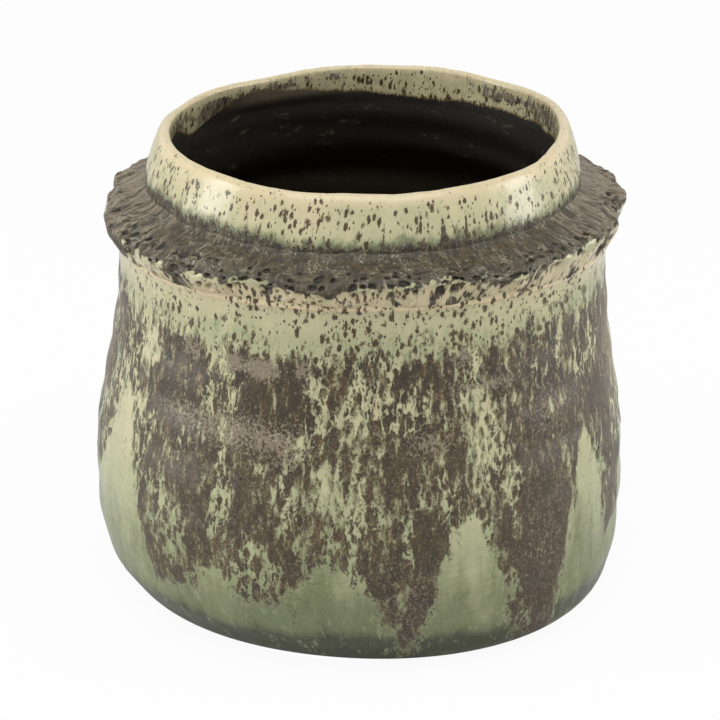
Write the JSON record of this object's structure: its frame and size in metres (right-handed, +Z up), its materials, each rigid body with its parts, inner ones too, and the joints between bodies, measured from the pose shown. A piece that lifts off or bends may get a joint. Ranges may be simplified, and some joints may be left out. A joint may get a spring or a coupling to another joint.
{
  "type": "planter pot",
  "caption": "Hand-thrown stoneware planter: a bellied pot with a torn, drooping flange round its shoulder and a short neck with an uneven lip.",
  "frame": {"origin": "on the ground, under the middle of the pot's bounding box, which is also the middle of the drain hole", "axes": "+Z up through the mouth; -Y faces the viewer of the side that the picture shows; +X to that viewer's right"},
  "size_m": [0.1787, 0.1813, 0.1572],
  "materials": {
    "foot_glaze": "glossy celadon green glaze, crazed, pooled dark at the foot",
    "body_glaze": "satin umber runs over green and cream glaze",
    "flange_glaze": "matt, crusty grey-brown glaze with pinholes",
    "neck_glaze": "satin cream to pale celadon glaze with brown specks",
    "liner_glaze": "near-black satin liner glaze"
  },
  "bodies": {
    "root": {"foot_base": "foot_glaze", "body_wall": "body_glaze", "shoulder_flange": "flange_glaze", "neck_collar": "neck_glaze", "liner_glaze": "liner_glaze"}
  },
  "joints": []
}
